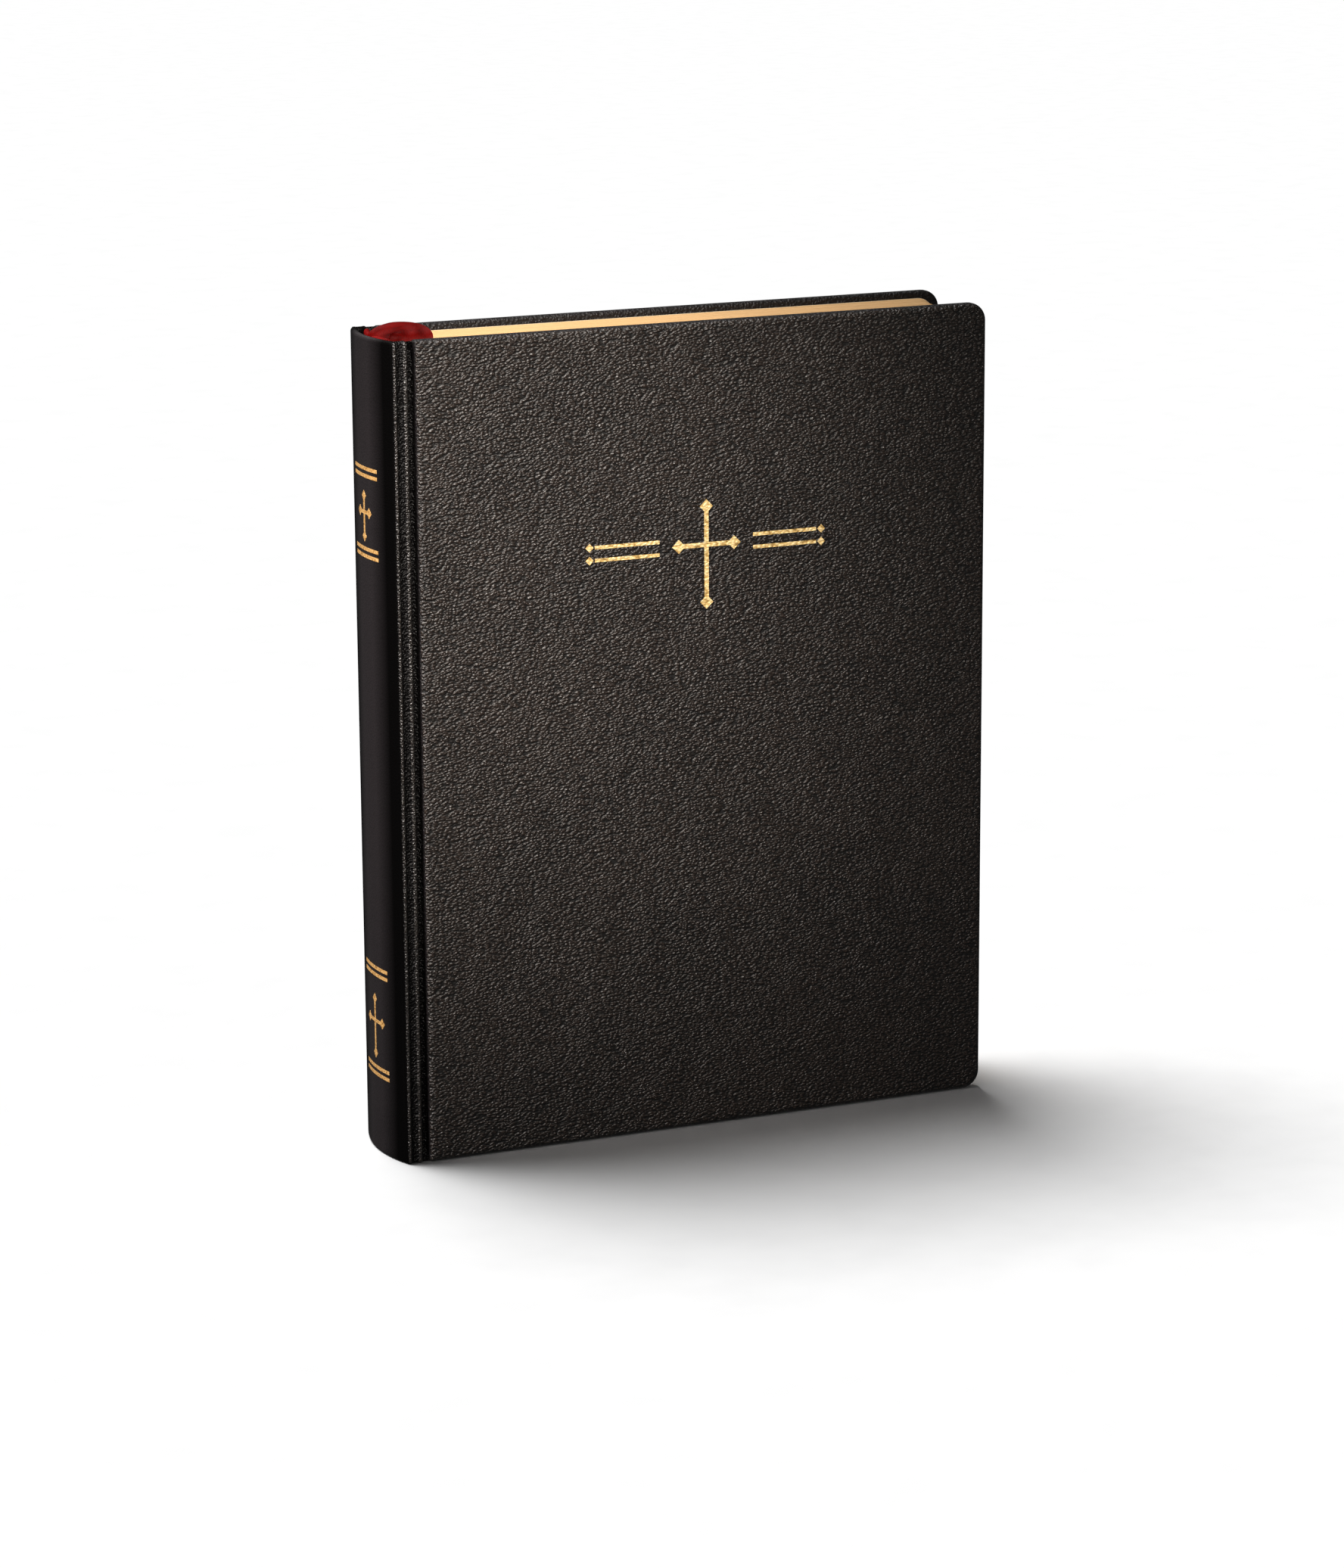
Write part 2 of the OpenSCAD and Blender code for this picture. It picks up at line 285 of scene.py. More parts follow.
def gilt(name, cell_mm, depth_mm, low, high, stretch=(1, 1, 1)):
    """Gold foil pressed on grained leather; the deepest creases stay dark."""
    n = Nodes(name)
    height, cells = pebble(n, cell_mm, stretch)
    wear = n.noise(n.coords, 900.0, 3.0, 0.7).outputs["Fac"]
    kept = n.math("ADD", n.math("MULTIPLY", height, 0.8), n.math("MULTIPLY", wear, 0.3))
    colour = n.ramp(kept, [(0.18, (0.12, 0.06, 0.02)), (0.34, low), (0.8, high)])
    normal = n.bump(height, 0.8, depth_mm * MM)
    return n.finish(Base_Color=colour, Metallic=0.6, Roughness=0.42, Normal=normal)


def paper(name, colour_low, colour_high, line_scale, streak, bump_mm):
    """Paper whose cut edges show leaves: fine streaks across the thickness, along Y."""
    n = Nodes(name)
    leaf = n.mapped((18.0, line_scale, 18.0))
    lines = n.noise(leaf, 1.0, 4.0, 0.75).outputs["Fac"]
    fibre = n.noise(n.coords, 2600.0, 2.0, 0.6).outputs["Fac"]
    cloud = n.noise(n.coords, 40.0, 2.0).outputs["Fac"]
    mix = n.math("ADD", n.math("MULTIPLY", lines, streak), n.math("MULTIPLY", fibre, 0.12))
    mix = n.math("ADD", mix, n.math("MULTIPLY", cloud, 0.25))
    colour = n.ramp(mix, [(0.30, colour_low), (0.72, colour_high)])
    normal = n.bump(mix, 0.6, bump_mm * MM)
    return n.finish(Base_Color=colour, Roughness=0.78, Normal=normal, Specular_IOR_Level=0.25)


def satin(name, low, high, thread_scale, direction):
    """Silk or satin: fine threads along one direction, with a soft sheen."""
    n = Nodes(name)
    threads = n.noise(n.mapped(direction), thread_scale, 3.0, 0.7).outputs["Fac"]
    # Light and dark patches standing in for the shade of soft folds: painted shade
    painted_fold_shade = n.noise(n.coords, 220.0, 2.0).outputs["Fac"]
    mix = n.math("ADD", n.math("MULTIPLY", threads, 0.6), n.math("MULTIPLY", painted_fold_shade, 0.5))
    colour = n.ramp(mix, [(0.35, low), (0.75, high)])
    normal = n.bump(threads, 0.7, 0.08 * MM)
    return n.finish(
        Base_Color=colour, Roughness=0.42, Normal=normal,
        Specular_IOR_Level=0.03, Anisotropic=0.5,
    )


def board_card(name, low, high):
    """Grey or brown card with short fibres."""
    n = Nodes(name)
    fibre = n.noise(n.mapped((1.0, 6.0, 1.0)), 500.0, 4.0, 0.7).outputs["Fac"]
    colour = n.ramp(fibre, [(0.3, low), (0.7, high)])
    return n.finish(Base_Color=colour, Roughness=0.85, Normal=n.bump(fibre, 0.5, 0.05 * MM))


def woven(name, low, high, pitch_mm):
    """Plain weave: two crossed wave patterns along the spine and across it."""
    n = Nodes(name)
    heights = []
    for direction in ("X", "Z"):
        wave = n.tree.nodes.new("ShaderNodeTexWave")
        wave.bands_direction = direction
        n.set(wave, "Vector", n.coords)
        n.set(wave, "Scale", 1 / (pitch_mm * MM) / 6.3)
        n.set(wave, "Distortion", 0.6)
        heights.append(wave.outputs["Fac"])
    weave = n.math("MULTIPLY", heights[0], heights[1])
    colour = n.ramp(weave, [(0.0, low), (0.8, high)])
    return n.finish(Base_Color=colour, Roughness=0.8, Normal=n.bump(weave, 0.8, 0.1 * MM))


COVER_CELL = 0.62
COVER_STRETCH = (0.68, 1.0, 1.20)
SPINE_CELL = 0.4
BLACK = (0.0020, 0.0017, 0.0016)
DEEP_BLACK = (0.0008, 0.0006, 0.0007)
WARM_BLACK = (0.0140, 0.0108, 0.0088)
# Painted light: the brown put on the cover's pebble tops
COVER_LIT_BROWN = (0.0175, 0.0118, 0.0090)
PURPLE_BLACK = (0.0065, 0.0048, 0.0056)
cover_leather = leather("cover_leather", COVER_CELL, 0.48, BLACK, COVER_LIT_BROWN, 0.34, 0.42, COVER_STRETCH)
# A darker copy of the leather for the strip and the grooves: painted shade
shaded_strip_leather = leather("shaded_strip_leather", 0.50, 0.40, DEEP_BLACK, BLACK, 0.34, 0.13)
# A lighter, glossier copy for the strip's two crests: painted highlights
crest_highlight_leather = leather("crest_highlight_leather", 0.5, 0.28, BLACK, WARM_BLACK, 0.30, 0.5)
# A darker copy for the board edges, turn-ins and inside faces: painted shade
shaded_turn_in_leather = leather("shaded_turn_in_leather", 0.7, 0.22, BLACK, PURPLE_BLACK, 0.42, 0.25)
spine_leather = spine_hide("spine_leather", SPINE_CELL, 0.07)
cover_gilt = gilt("cover_gilt", COVER_CELL, 0.20, (0.62, 0.40, 0.13), (0.98, 0.78, 0.42), COVER_STRETCH)
spine_gilt = gilt("spine_gilt", SPINE_CELL, 0.03, (0.55, 0.28, 0.07), (0.90, 0.58, 0.24))
page_paper = paper("page_paper", (0.056, 0.030, 0.012), (0.40, 0.258, 0.122), 1600.0, 1.3, 0.15)
leaf_paper = paper("leaf_paper", (0.42, 0.36, 0.255), (0.54, 0.475, 0.35), 60.0, 0.3, 0.02)
band_silk = satin("band_silk", (0.035, 0.0010, 0.0010), (0.115, 0.0025, 0.0025), 2500.0, (1, 3, 1))
ribbon_satin = satin("ribbon_satin", (0.012, 0.0002, 0.0001), (0.078, 0.0008, 0.0005), 1800.0, (6, 1, 0.6))
greyboard = board_card("greyboard", (0.30, 0.26, 0.20), (0.48, 0.42, 0.34))
kraft = board_card("kraft", (0.36, 0.24, 0.13), (0.55, 0.40, 0.24))
linen = woven("linen", (0.45, 0.40, 0.31), (0.80, 0.75, 0.64), 0.5)
mull_cloth = woven("mull_cloth", (0.40, 0.36, 0.28), (0.84, 0.80, 0.70), 0.9)


# ---- covers ----

EDGE_OUT = 1.3
EDGE_IN = 0.8
JOINT_EDGE_X = BOARD_X - LEATHER_T
JOINT_CORNER_R = 0.7
LEAST_R = 0.05
CORNER_STEPS = 10
GRAIN_FACE = HALF_T - 0.45


def cover_ring(inset, joint_inset):
    """Outline of a cover, inset from its edges, as (x, z) points with the same count each time."""
    x0, x1 = JOINT_EDGE_X + joint_inset, COVER_W - inset
    z0, z1 = inset, COVER_H - inset
    big = max(CORNER_R - inset, LEAST_R)
    small = max(JOINT_CORNER_R - inset, LEAST_R)
    points = []
    for cx, cz, r, start in (
        (x0 + small, z0 + small, small, 180),
        (x1 - big, z0 + big, big, 270),
        (x1 - big, z1 - big, big, 0),
        (x0 + small, z1 - small, small, 90),
    ):
        for k in range(CORNER_STEPS + 1):
            a = math.radians(start + 90 * k / CORNER_STEPS)
            points.append((cx + r * math.cos(a), cz + r * math.sin(a)))
    return points


def cover_profile():
    """The leather's path round a board edge, as (inset, inset on the joint side, distance from mid book)."""
    path = [(EDGE_OUT + 0.6, EDGE_OUT + 0.6, HALF_T), (EDGE_OUT, EDGE_OUT, HALF_T)]
    for k in range(1, 8):
        a = math.radians(90 * k / 7)
        d = EDGE_OUT * (1 - math.sin(a))
        path.append((d, d, HALF_T - EDGE_OUT * (1 - math.cos(a))))
    for k in range(0, 6):
        a = math.radians(90 * k / 5)
        d = EDGE_IN * (1 - math.cos(a))
        path.append((d, min(d, LEATHER_T), INNER_FACE + EDGE_IN * (1 - math.sin(a))))
    path.append((TURN_IN - 0.3, LEATHER_T, INNER_FACE))
    path.append((TURN_IN, LEATHER_T, INNER_FACE + 0.15))
    path.append((TURN_IN, LEATHER_T, BOARD_IN))
    path.append((LEATHER_T, LEATHER_T, BOARD_IN))
    path.append((LEATHER_T, LEATHER_T, BOARD_OUT))
    return path


def make_cover(name, side, body, node):
    """One cover's leather, turned in round the board; side is -1 in front and 1 at the back."""
    rings = [[(x, side * y, z) for x, z in cover_ring(d, dj)] for d, dj, y in cover_profile()]
    obj = make_mesh(name, *loft(rings), [cover_leather, shaded_turn_in_leather])
    # Faces off the outer grain face take the darker copy: painted shade on the edges and turn-ins
    for face in obj.data.polygons:
        face.material_index = 0 if abs(face.center.y) > GRAIN_FACE * MM else 1
    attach(obj, body)
    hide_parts(node)


make_cover("leather_front_cover", -1, "front_cover", "front_cover_leather")
make_cover("leather_back_cover", 1, "back_cover", "back_cover_leather")


# ---- spine ----


def case_x(y):
    """Where the spine's outer arc stands at distance y from mid thickness."""
    return CASE_R - BULGE - math.sqrt(CASE_R**2 - y * y)


def spine_outline():
    """The spine leather's outer line in plan, from the front groove round to the back one."""
    strip = [
        (3.72, -13.2), (3.75, -14.1), (3.48, -14.78), (2.95, -14.95),
        (2.1, -14.55), (1.1, -14.55), (0.35, -14.93),
    ]
    arc = [(case_x(y), y) for y in (-14.2, -13, -11, -8.5, -6, -3, 0)]
    half = strip + arc
    whole = half + [(x, -y) for x, y in reversed(half[:-1])]
    return spline(whole, 6)


CAP_T = 1.8
INLAY_T = 0.8
INLAY_END = 0.6
SPINE_LEVELS = 90
RELIEF_END = 14.0


def spine_loop():
    """The leather's path up the spine and round its ends, as (depth, height)."""
    r = CAP_T / 2
    inner = LEATHER_T + INLAY_T
    turns = [math.radians(a) for a in range(22, 180, 22)]
    path = [(0.0, r + (COVER_H - 2 * r) * k / SPINE_LEVELS) for k in range(SPINE_LEVELS + 1)]
    path += [(r - r * math.cos(a), COVER_H - r + r * math.sin(a)) for a in turns]
    path += [(CAP_T, COVER_H - r), (CAP_T, COVER_H - TURN_IN)]
    path += [(inner, COVER_H - TURN_IN), (inner, COVER_H - INLAY_END)]
    path += [(LEATHER_T, COVER_H - INLAY_END), (LEATHER_T, INLAY_END)]
    path += [(inner, INLAY_END), (inner, TURN_IN), (CAP_T, TURN_IN), (CAP_T, r)]
    path += [(r + r * math.cos(a), r - r * math.sin(a)) for a in turns]
    return path


def spine_relief(y, z):
    """How far the outer leather sinks: the turned-in ends lie a little proud, and the tail is creased."""
    edge = 1.2
    tail = 1 - step_up(z, TURN_IN - edge + 0.05 * y, edge)
    head = step_up(z, COVER_H - TURN_IN, edge)
    sink = 0.14 * (1 - (tail + 0.5 * head))
    for place, height, size in ((-4.0, 5.2, 0.16), (-6.5, 3.4, 0.14), (-1.5, 2.6, 0.10)):
        along = (z - height) + 0.35 * (y - place)
        sink += size * math.exp(-((along / 0.7) ** 2) - ((y - place) / 3.0) ** 2)
    return sink * step_up(RELIEF_END - abs(y), 0.5, 1.0)


def make_spine():
    """The spine's leather: the rounded back, and beside it the raised strip along each joint."""
    outline = spine_outline()
    loop = spine_loop()
    rings = []
    for i, p in enumerate(outline):
        along = direction_at(outline, i)
        inward = Vector((along.y, -along.x))
        ring = []
        for depth, z in loop:
            if depth == 0.0 and abs(p.y) < RELIEF_END:
                depth = spine_relief(p.y, z)
            q = p + inward * depth
            ring.append((q.x, q.y, z))
        rings.append(ring)
    verts, faces = loft(rings)
    obj = make_mesh("leather_spine", verts, faces, [spine_leather, shaded_strip_leather, crest_highlight_leather])
    # The back takes the spine leather. The strip's valley takes the darker copy as painted shade, and the two
    # crests take the lighter, glossier copy as painted highlights.
    for face in obj.data.polygons:
        centre = face.center
        x, y = centre.x / MM - RIDGE_X, abs(centre.y / MM)
        on_crest = y > 14.6 and (x < 0.65 or x > 2.5)
        on_back = x < -0.1 or (y < 13.9 and x < 3.3)
        face.material_index = 0 if on_back else (2 if on_crest else 1)
    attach(obj, "spine_case")
    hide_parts("spine_leather")


make_spine()


# ---- joint skins: the leather down in the two grooves ----

JOINT_T = 0.4
JOINT_RINGS = 72
JOINT_Y = 13.9
JOINT_LINE = [
    (3.5, JOINT_Y), (3.8, 13.0), (4.25, 12.45), (4.75, 12.3),
    (5.3, 12.6), (5.6, 13.3), (5.7, JOINT_Y),
]
JOINT_FILL = 1.5


def make_joint(name, side, node):
    """Thin leather from the spine strip, down the groove and up the board's end, shallow at head and tail."""
    outer = spline(JOINT_LINE, 5)
    rings = []
    for k in range(JOINT_RINGS + 1):
        t = k / JOINT_RINGS
        z = JOINT_T / 2 + (COVER_H - JOINT_T) * (0.5 - 0.5 * math.cos(math.pi * t))
        near_end = min(z, COVER_H - z)
        fill = JOINT_FILL * (1 - step_up(near_end, 1.4, 2.4))
        line = [Vector((p.x, p.y + fill * (JOINT_Y - p.y) / 1.6)) for p in outer]
        inner = []
        for i, p in enumerate(line):
            along = direction_at(outer, i)
            inner.append(p + Vector((along.y, -along.x)) * JOINT_T)
        rings.append([(p.x, side * p.y, z) for p in line + inner[::-1]])
    # The groove skin takes the strip's darker copy: painted shade down in the groove
    obj = make_mesh(name, *loft(rings), [shaded_strip_leather])
    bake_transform(obj)
    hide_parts(node)


make_joint("leather_front_joint", -1, "front_joint_leather")
make_joint("leather_back_joint", 1, "back_joint_leather")


# ---- pages ----


def back_arc_x(y):
    """Where the pages' rounded back stands at distance y from mid thickness."""
    return BACK_X + BACK_R - math.sqrt(BACK_R**2 - y * y)


PAGE_CORNER_R = 4.5
LEAF_PACKS = 12
RIBBON_ROOM = 0.16
rng = random.Random(11)


def page_ring(y, shift_head, shift_fore, shift_tail):
    """Outline of the pages at distance y from mid thickness, each cut edge shifted a little."""
    x0 = back_arc_x(y)
    x1 = PAGE_X1 - BACK_ROUNDING + (back_arc_x(y) - BACK_X) - 0.05 + shift_fore
    z0, z1 = PAGE_Z0 - shift_tail, PAGE_Z1 + shift_head
    r = PAGE_CORNER_R
    points = [(x0, z0)]
    for cx, cz, start in ((x1 - r, z0 + r, 270), (x1 - r, z1 - r, 0)):
        for k in range(9):
            a = math.radians(start + 90 * k / 8)
            points.append((cx + r * math.cos(a), cz + r * math.sin(a)))
    points.append((x0, z1))
    return [(x, y, z) for x, z in points]


def make_section(index):
    """One sewn section, its leaf packs cut a hair unevenly at head, tail and fore-edge."""
    node = f"section_{index:02d}"
    low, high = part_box(node)
    y0, y1 = max(low.y / MM, -BLOCK_HALF), min(high.y / MM, BLOCK_HALF)
    if index == 2:
        y0 += RIBBON_ROOM
    rings = []
    for k in range(LEAF_PACKS):
        head, fore, tail = (rng.uniform(-0.07, 0.03) for _ in range(3))
        if k in (0, LEAF_PACKS - 1):
            head, fore, tail = head - 0.08, fore - 0.08, tail - 0.08
        for step in (k, k + 1):
            y = y0 + (y1 - y0) * step / LEAF_PACKS
            rings.append(page_ring(y, head, fore, tail))
    obj = make_mesh(f"leaves_{index:02d}", *loft(rings), [page_paper, leaf_paper], 20.0)
    for face in obj.data.polygons:
        face.material_index = 1 if len(face.vertices) > 4 else 0
    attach(obj, "front_pages" if index == 1 else "text_block")
    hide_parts(node)


for number in range(1, 13):
    make_section(number)


# ---- flyleaves: glued down beside the fold, with close rings along that strip ----


def make_flyleaf(name, side, node):
    """One free endpaper, with close rings beside the fold and a rounded end like the pages'."""
    low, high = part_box(node)
    x0, x1 = low.x / MM - RIDGE_X, high.x / MM - RIDGE_X
    y_outer = max(abs(low.y), abs(high.y)) / MM
    y_inner = min(abs(low.y), abs(high.y)) / MM
    z0, z1 = low.z / MM, high.z / MM
    r = PAGE_CORNER_R
    close, wide, bent = 0.3, 8.0, 7.5
    places = [x0 + close * k for k in range(25)]
    places += [x0 + bent + wide * k for k in range(int((x1 - x0 - 20) / wide))]
    places += [x1 - r + r * math.sin(math.radians(10 * k)) for k in range(10)]
    rings = []
    for x in places:
        over = max(x - (x1 - r), 0.0)
        cut = r - math.sqrt(max(r * r - over * over, 0.04))
        corners = ((y_outer, z0 + cut), (y_outer, z1 - cut), (y_inner, z1 - cut), (y_inner, z0 + cut))
        rings.append([(x, side * y, z) for y, z in corners])
    obj = make_mesh(name, *loft(rings), [leaf_paper])
    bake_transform(obj)
    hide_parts(node)


make_flyleaf("leaf_front_endpaper", -1, "front_flyleaf")
make_flyleaf("leaf_back_endpaper", 1, "back_flyleaf")


# ---- head and tail bands: silk wound over a core, in beads ----

BAND_R = 0.72
BAND_BEADS = 26
BAND_SIDES = 14
BAND_LIFT = 0.82


def make_band(name, node, centre_z):
    """A silk band along the rounded back, with a bead for each turn of the silk."""
    low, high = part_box(node)
    y0, y1 = low.y / MM, high.y / MM
    rings = []
    steps = BAND_BEADS * 6
    for i in range(steps + 1):
        y = y0 + (y1 - y0) * i / steps
        swell = 1 + 0.13 * abs(math.sin(math.pi * BAND_BEADS * i / steps))
        if i in (0, steps):
            swell = 0.5
        x = back_arc_x(y) + BAND_R
        ring = []
        for k in range(BAND_SIDES):
            a = math.radians(360 * k / BAND_SIDES)
            lean = 0.10 * math.sin(a)
            ring.append((x + BAND_R * swell * math.cos(a), y + lean, centre_z + BAND_R * swell * math.sin(a)))
        rings.append(ring)
    obj = make_mesh(name, *loft(rings), [band_silk], 60.0)
    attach(obj, "text_block")
    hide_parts(node)


make_band("silk_head_band", "head_band", PAGE_Z1 + BAND_LIFT)
make_band("silk_tail_band", "tail_band", PAGE_Z0 - BAND_LIFT)


# ---- ribbon ----

RIBBON_W = 10.0
RIBBON_HALF_T = 0.05
RIBBON_ACROSS = 14
HOLLOW = 0.45


def ribbon_stops():
    """Places along the ribbon, each with its near edge and its far edge."""
    gap_y = SPLIT_Y + RIBBON_ROOM / 2
    back = [
        ((back_arc_x(8.4) - HOLLOW, -8.4, z), (back_arc_x(1.5) - HOLLOW, 1.5, z))
        for z in (188.0, 196.0, 201.5)
    ]
    over = [
        ((1.05, -8.2, 204.3), (0.0, 1.7, 205.2)),
        ((1.9, -8.3, 205.4), (4.5, 1.2, 207.1)),
        ((1.8, -8.5, 206.0), (9.0, -1.4, 207.6)),
        ((1.5, -8.7, 205.9), (11.5, -4.6, 207.1)),
        ((1.4, -8.85, 205.0), (12.5, -7.7, 205.7)),
        ((1.5, gap_y, 203.6), (12.4, gap_y, 203.9)),
    ]
    down = [
        ((x, gap_y, z), (x + RIBBON_W, gap_y, z))
        for x, z in ((1.7, 201.5), (1.8, 196), (1.9, 150), (2.0, 80), (2.0, 15))
    ]
    return back + over + down


def make_ribbon():
    """The marker: up the hollow back, over the head in a quarter turn, and down between the pages."""
    stops = ribbon_stops()
    near = spline([stop[0] for stop in stops], 8)
    far = spline([stop[1] for stop in stops], 8)
    rings = []
    for i, (a, b) in enumerate(zip(near, far)):
        before, after = max(i - 1, 0), min(i + 1, len(near) - 1)
        top, bottom = [], []
        loose = step_up(min(a.z, b.z), 203.9, 1.6)
        for k in range(RIBBON_ACROSS + 1):
            u = k / RIBBON_ACROSS
            point = a.lerp(b, u)
            along = near[after].lerp(far[after], u) - near[before].lerp(far[before], u)
            up = (b - a).cross(along).normalized()
            # The satin bows between its selvedges, with a few soft folds along its length
            lift = loose * (1.1 * u * (1 - u) + 0.10 * math.sin(2 * math.pi * (2.5 * u + 0.04 * i)))
            top.append(point + up * (lift + RIBBON_HALF_T))
            bottom.append(point + up * (lift - RIBBON_HALF_T))
        rings.append([tuple(v) for v in top + bottom[::-1]])
    obj = make_mesh("ribbon_satin_marker", *loft(rings), [ribbon_satin], 60.0)
    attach(obj, "text_block")
    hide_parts("ribbon_marker")


make_ribbon()


# ---- gilt ornaments ----

FOIL_LIFT, FOIL_ROOT = 0.04, -0.10
FOIL_REACH = 8.0


def lozenge(cx, cy, r):
    return [(cx + r, cy), (cx, cy + r), (cx - r, cy), (cx, cy - r)]


def bar(x0, y0, x1, y1):
    return [(x0, y0), (x1, y0), (x1, y1), (x0, y1)]


def cross_outline(h, line):
    """One outline of a cross whose four arms end in lozenges."""
    half, bud = line / 2, line * 1.5
    outline = []
    arms = (((1, 0), 0.31 * h), ((0, 1), 0.4 * h), ((-1, 0), 0.31 * h), ((0, -1), 0.6 * h))
    for (ax, ay), reach in arms:
        neck = reach - bud + half
        arm = [(half, -half), (neck, -half), (reach, -bud), (reach + bud, 0), (reach, bud), (neck, half)]
        outline += [(ax * along - ay * across, ay * along + ax * across) for along, across in arm]
    return outline


def stamp(name, outlines, place, body, node, material, cuts=0):
    """Thin foil over flat outlines, cut along u so that it can bend; place(u, v, lift) is the leather."""
    edit = bmesh.new()
    for outline in outlines:
        edit.faces.new([edit.verts.new((u, v, 0)) for u, v in outline])
    bmesh.ops.recalc_face_normals(edit, faces=edit.faces)
    for k in range(1, cuts):
        u = -FOIL_REACH + 2 * FOIL_REACH * k / cuts
        geometry = edit.verts[:] + edit.edges[:] + edit.faces[:]
        bmesh.ops.bisect_plane(edit, geom=geometry, plane_co=(u, 0, 0), plane_no=(1, 0, 0))
    made = bmesh.ops.extrude_face_region(edit, geom=edit.faces[:], use_keep_orig=True)
    raised = {v for v in made["geom"] if isinstance(v, bmesh.types.BMVert)}
    for v in edit.verts:
        v.co = place(v.co.x, v.co.y, FOIL_LIFT if v in raised else FOIL_ROOT)
    edit.verts.index_update()
    verts = [tuple(v.co) for v in edit.verts]
    faces = [tuple(v.index for v in f.verts) for f in edit.faces]
    edit.free()
    obj = make_mesh(name, verts, faces, [material])
    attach(obj, body)
    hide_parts(node)


def make_ornaments():
    """A plain cross between two pairs of rules in front, and between two pairs of fillets on the spine."""
    low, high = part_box("front_gilt_ornament")
    cross_h, line = 24.0, 1.17
    centre_x = (low.x + high.x) / 2 / MM - RIDGE_X
    centre_z = low.z / MM + line * 1.5 + 0.6 * cross_h
    outlines = [cross_outline(cross_h, line)]
    rule_len, rule_gap, rule_w = 18.6, 12.6, 0.9
    for side in (-1, 1):
        for dz in (-1.6, 1.6):
            inner, outer = side * rule_gap, side * (rule_gap + rule_len - 1.4)
            outlines.append(bar(min(inner, outer), dz - rule_w / 2, max(inner, outer), dz + rule_w / 2))
            outlines.append(lozenge(side * (rule_gap + rule_len), dz, rule_w * 1.2))

    def on_front(u, v, lift):
        return (centre_x + u, -HALF_T - lift, centre_z + v)

    stamp("foil_front", outlines, on_front, "front_cover", "front_gilt_ornament", cover_gilt)

    for name, node, cross_h, gap in (
        ("foil_spine_upper", "spine_gilt_upper", 10.0, 9.0),
        ("foil_spine_lower", "spine_gilt_lower", 14.0, 12.0),
    ):
        low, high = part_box(node)
        middle = (low.z + high.z) / 2 / MM
        outlines = [cross_outline(cross_h, 0.9)]
        for v in (gap, gap + 1.8, -gap, -gap - 1.8):
            outlines.append(bar(-7.5, v - 0.45, 7.5, v + 0.45))

        def on_spine(u, v, lift, middle=middle):
            z = middle + v
            depth = spine_relief(u, z)
            out = Vector((-(CASE_R - BULGE - case_x(u)), u)).normalized()
            return (case_x(u) + out.x * (lift - depth), u + out.y * (lift - depth), z)

        stamp(name, outlines, on_spine, "spine_case", node, spine_gilt, cuts=24)


make_ornaments()


# ---- CAD nodes that stay, with their finishes ----

for node, material in (
    ("front_board", greyboard), ("back_board", greyboard), ("spine_inlay", greyboard),
    ("front_pastedown", leaf_paper), ("back_pastedown", leaf_paper),
    ("sewing_tapes", linen), ("sewing_thread", linen), ("mull", mull_cloth), ("spine_lining", kraft),
):
    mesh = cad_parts[node].data
    mesh.materials.clear()
    mesh.materials.append(material)


# ---- floor, light and camera ----


def make_floor():
    """A plain pale floor, unseen in reflections."""
    n = Nodes("floor")
    speck = n.noise(n.coords, 60.0, 2.0).outputs["Fac"]
    colour = n.ramp(speck, [(0.3, (0.93, 0.93, 0.93)), (0.7, (0.96, 0.96, 0.96))])
    material = n.finish(Base_Color=colour, Roughness=0.9, Specular_IOR_Level=0.1)
    size = 60.0
    mesh = bpy.data.meshes.new("floor")
    corners = [(-size, -size, 0), (size, -size, 0), (size, size, 0), (-size, size, 0)]
    mesh.from_pydata(corners, [], [(0, 1, 2, 3)])
    obj = bpy.data.objects.new("floor", mesh)
    bpy.context.scene.collection.objects.link(obj)
    mesh.materials.append(material)
    obj.visible_glossy = False
    return obj


def aim(obj, place, target):
    """Puts a lamp in the scene, turned towards the target."""
    obj.location = place
    obj.rotation_euler = (Vector(target) - Vector(place)).to_track_quat("-Z", "Y").to_euler()
    bpy.context.scene.collection.objects.link(obj)


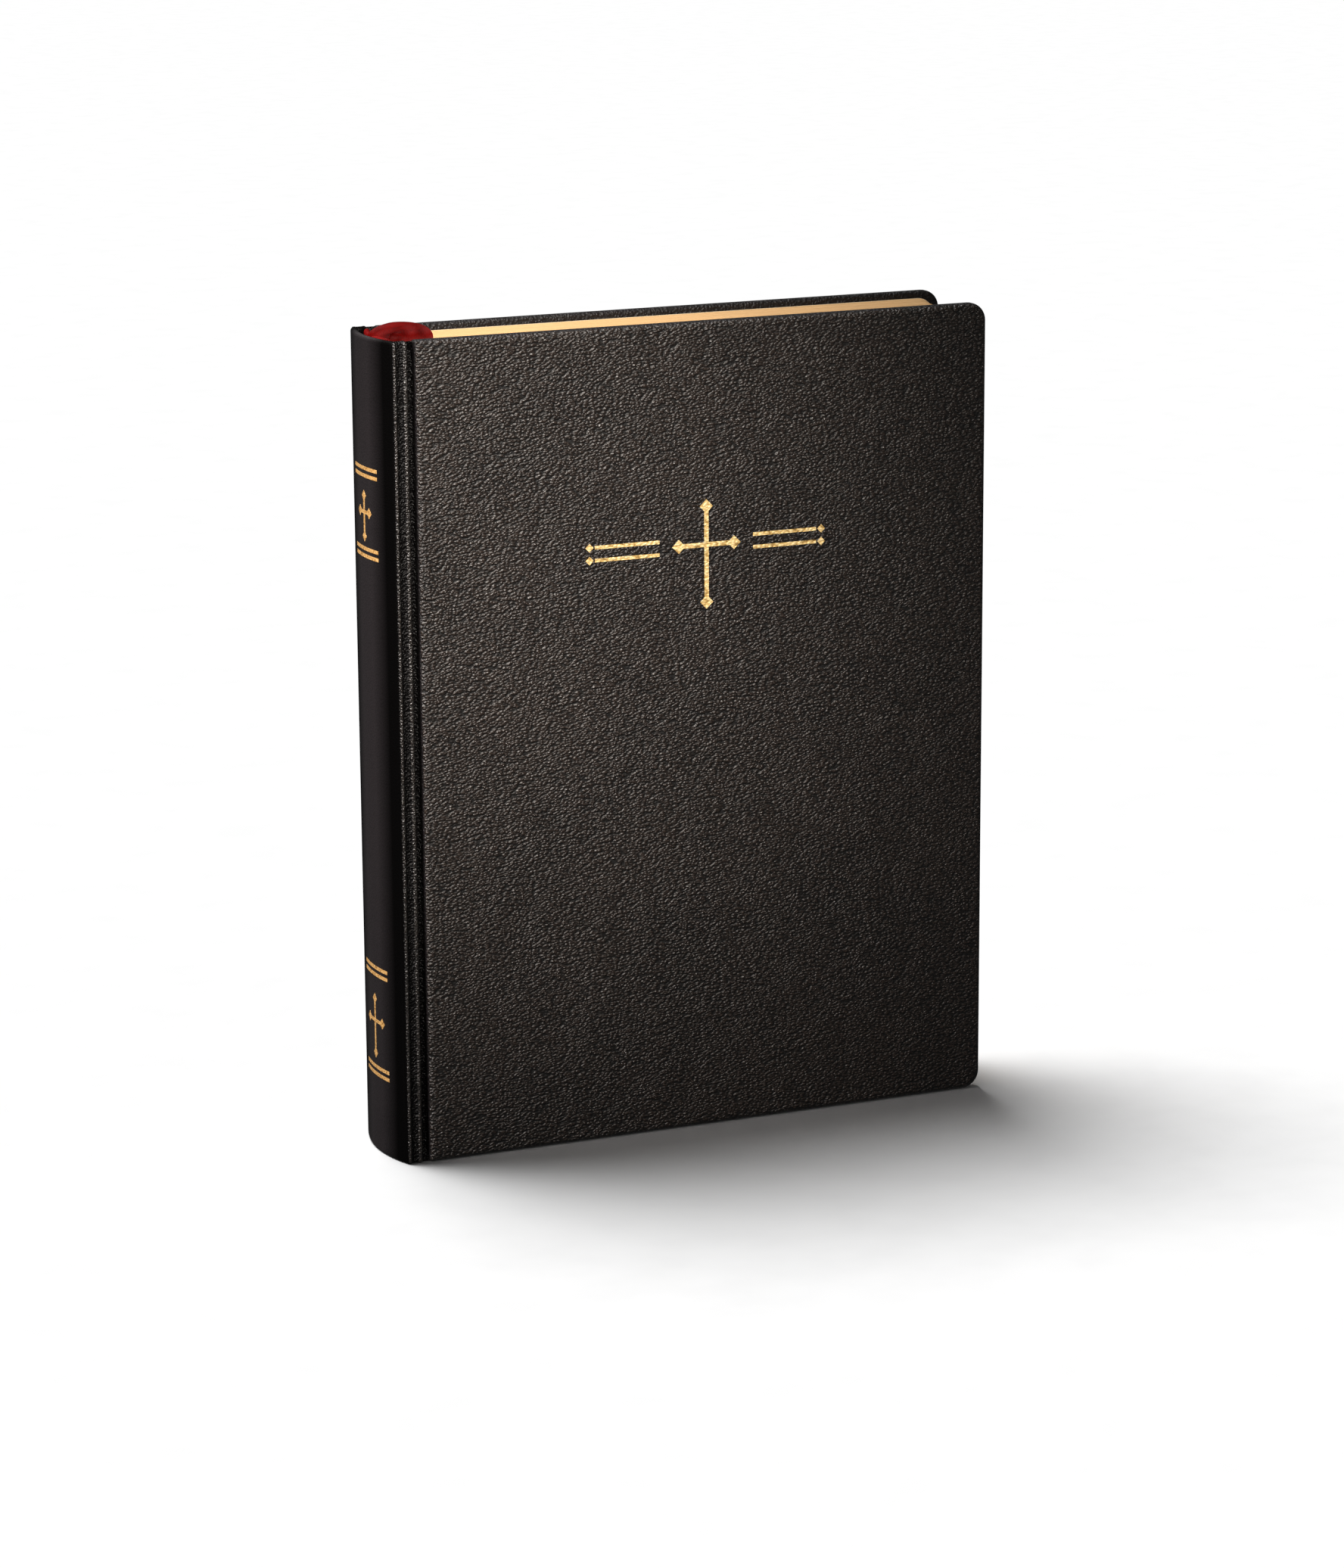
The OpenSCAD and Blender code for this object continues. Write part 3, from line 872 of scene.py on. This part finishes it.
def spot_light(name, place, target, cone_deg, size, power, colour):
    """A small lamp at the book's upper left, which fades out towards the edge of its cone."""
    data = bpy.data.lights.new(name, "SPOT")
    data.energy = power
    data.color = colour
    data.spot_size = math.radians(cone_deg)
    data.spot_blend = 1.0
    data.shadow_soft_size = size
    lamp = bpy.data.objects.new(name, data)
    aim(lamp, place, target)
    return lamp


def leave_out(lamp, obj):
    """The lamp lights everything but obj."""
    group = bpy.data.collections.new("not_lit_by_" + lamp.name)
    group.objects.link(obj)
    group.collection_objects[0].light_linking.link_state = "EXCLUDE"
    lamp.light_linking.receiver_collection = group


def overhead_sun(place, strength, spread_deg):
    """Broad light from above, a little from the left and behind, even over the whole floor."""
    data = bpy.data.lights.new("overhead", "SUN")
    data.energy = strength
    data.angle = math.radians(spread_deg)
    aim(bpy.data.objects.new("overhead", data), place, (0, 0, 0))


def make_world(strength):
    """Even white light from all round."""
    world = bpy.data.worlds.new("studio")
    bpy.context.scene.world = world
    world.use_nodes = True
    world.node_tree.nodes["Background"].inputs["Color"].default_value = (1, 1, 1, 1)
    world.node_tree.nodes["Background"].inputs["Strength"].default_value = strength


def make_camera():
    """The view: a long lens from the front left, a little above the book."""
    data = bpy.data.cameras.new("camera")
    obj = bpy.data.objects.new("camera", data)
    bpy.context.scene.collection.objects.link(obj)
    yaw, pitch, roll = (math.radians(a) for a in (-23.287, -13.627, 0.366))
    turn = Matrix.Rotation(yaw, 3, "Z") @ Matrix.Rotation(pitch, 3, "X") @ Matrix.Rotation(roll, 3, "Y")
    obj.matrix_world = (turn @ Matrix.Rotation(math.radians(90), 3, "X")).to_4x4()
    obj.location = row(-381.1, -1066.2, 367.3)
    data.sensor_width = 36
    data.lens = 108.643
    bpy.context.scene.camera = obj


floor = make_floor()
make_world(0.075)
overhead_sun((-0.20, 0.34, 1.0), 3.4, 33)
key = spot_light(
    "key", (-0.202, -0.72, 0.684), (-0.043, 0, 0.156),
    cone_deg=16.7, size=0.06, power=90, colour=(1.0, 0.93, 0.85),
)
rim = spot_light(
    "rim", (-0.695, -0.245, 0.66), (-0.025, -0.015, 0.060),
    cone_deg=24, size=0.06, power=68, colour=(1.0, 0.93, 0.90),
)
leave_out(key, floor)
leave_out(rim, floor)
make_camera()
bpy.context.scene.view_settings.view_transform = "Standard"
